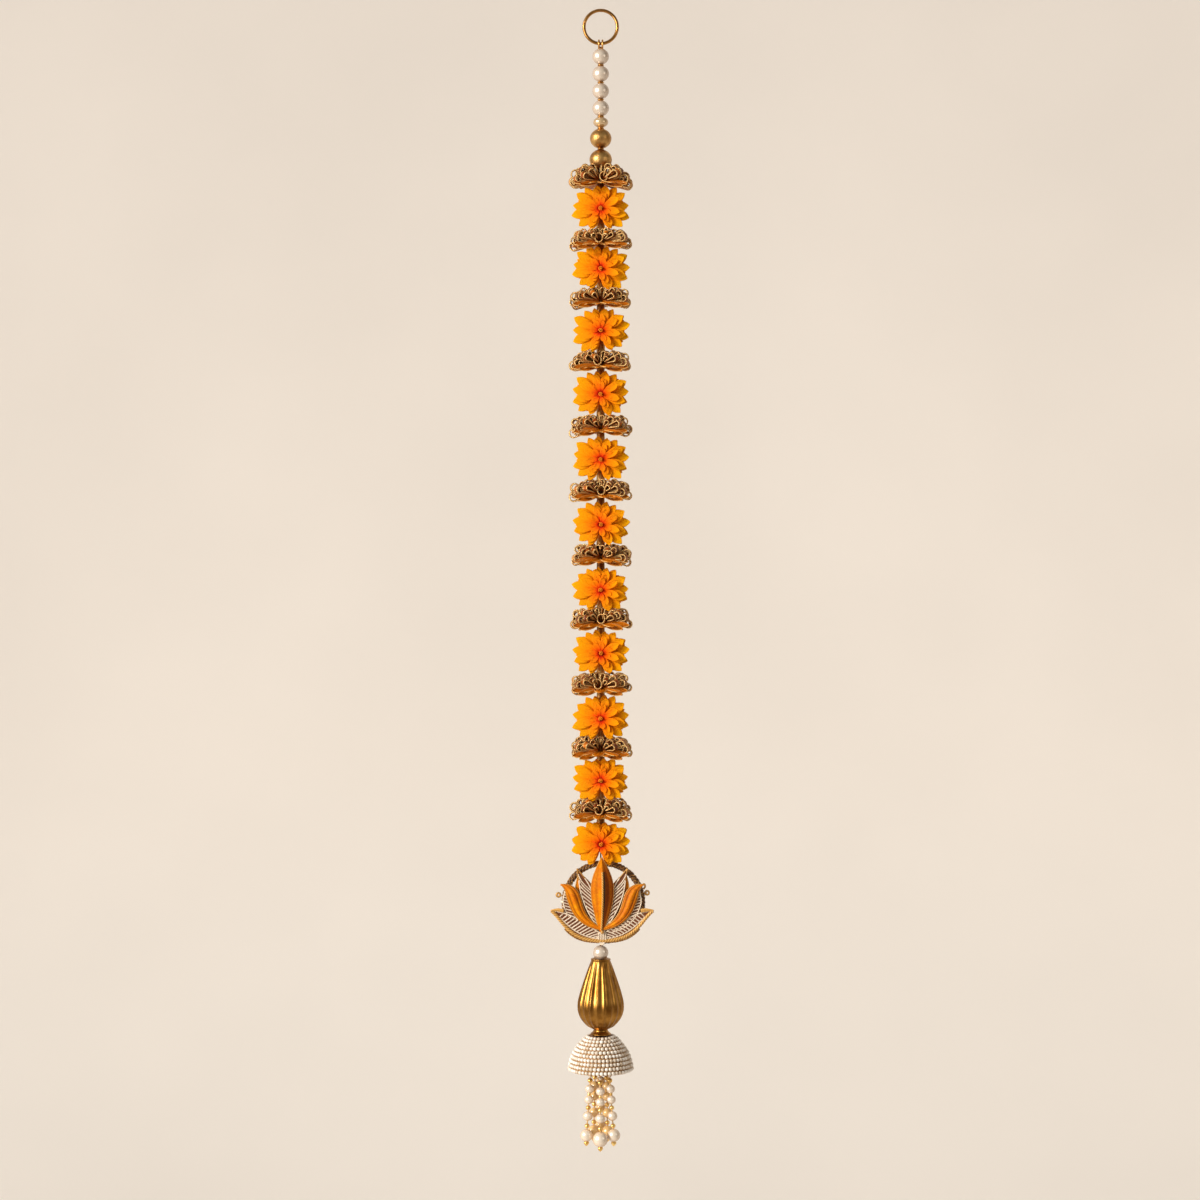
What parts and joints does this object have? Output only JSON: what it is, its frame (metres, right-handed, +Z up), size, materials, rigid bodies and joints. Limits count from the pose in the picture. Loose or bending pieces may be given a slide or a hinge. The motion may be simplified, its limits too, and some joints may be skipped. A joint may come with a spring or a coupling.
{
  "type": "marigold garland hanging",
  "caption": "Hanging strand of artificial marigolds and gold ribbon flowers on a brass ring, with pearls, a lotus pendant, a fluted brass drop and a pearl tassel.",
  "frame": {"origin": "inside top of the hanging ring, where it bears on its nail", "axes": "+Z up along the strand, the blooms and the pendant face -Y, +X to the right seen from the front"},
  "size_m": [0.0816, 0.0528, 0.9127],
  "materials": {
    "brass": "polished brass, slightly aged",
    "antique_gold": "antique gold plating, satin",
    "champagne": "champagne pearl, glossy",
    "pearl": "ivory pearl with a soft lustre",
    "marigold": "moulded felt-like fabric, red at the centre and yellow at the tips",
    "gold_ribbon": "metallic gold ribbon with a woven edge",
    "frame_cord": "antique gold cord wound over a ring",
    "orange_satin": "padded orange satin",
    "silver_thread": "silver thread laid in ribs with a gold cord edge",
    "beadwork": "rows of white seed beads with gold between"
  },
  "bodies": {
    "ring": {"hanging_ring": "brass"},
    "strand": {"stringing_wire": "brass", "pearl_1": "pearl", "pearl_2": "pearl", "pearl_3": "pearl", "pearl_4": "pearl", "champagne_bead": "champagne", "gold_ball_1": "antique_gold", "gold_ball_2": "antique_gold", "ribbon_flower_01": "gold_ribbon", "ribbon_flower_02": "gold_ribbon", "ribbon_flower_03": "gold_ribbon", "ribbon_flower_04": "gold_ribbon", "ribbon_flower_05": "gold_ribbon", "ribbon_flower_06": "gold_ribbon", "ribbon_flower_07": "gold_ribbon", "ribbon_flower_08": "gold_ribbon", "ribbon_flower_09": "gold_ribbon", "ribbon_flower_10": "gold_ribbon", "ribbon_flower_11": "gold_ribbon", "marigold_01": "marigold", "marigold_02": "marigold", "marigold_03": "marigold", "marigold_04": "marigold", "marigold_05": "marigold", "marigold_06": "marigold", "marigold_07": "marigold", "marigold_08": "marigold", "marigold_09": "marigold", "marigold_10": "marigold", "marigold_11": "marigold", "gold_bead_01": "antique_gold", "gold_bead_02": "antique_gold", "gold_bead_03": "antique_gold", "gold_bead_04": "antique_gold", "gold_bead_05": "antique_gold", "gold_bead_06": "antique_gold", "gold_bead_07": "antique_gold", "gold_bead_08": "antique_gold", "gold_bead_09": "antique_gold", "gold_bead_10": "antique_gold", "lotus_frame": "frame_cord", "lotus_rear_petals": "orange_satin", "lotus_silver_petals": "silver_thread", "lotus_orange_petals": "orange_satin", "drop_wire": "brass", "drop_pearl": "pearl", "fluted_drop": "brass", "collar": "brass", "beaded_dome": "beadwork", "tassel_front_centre": "pearl", "tassel_front_left": "pearl", "tassel_front_right": "pearl", "tassel_back_left": "pearl", "tassel_back_centre": "pearl", "tassel_back_right": "pearl"}
  },
  "joints": [
    {"name": "ring_swing", "type": "hinge", "parent": "ring", "child": "strand", "pos_m": [0, 0, -0.0253], "axis": [1, 0, 0], "range_deg": [-90, 90]}
  ]
}
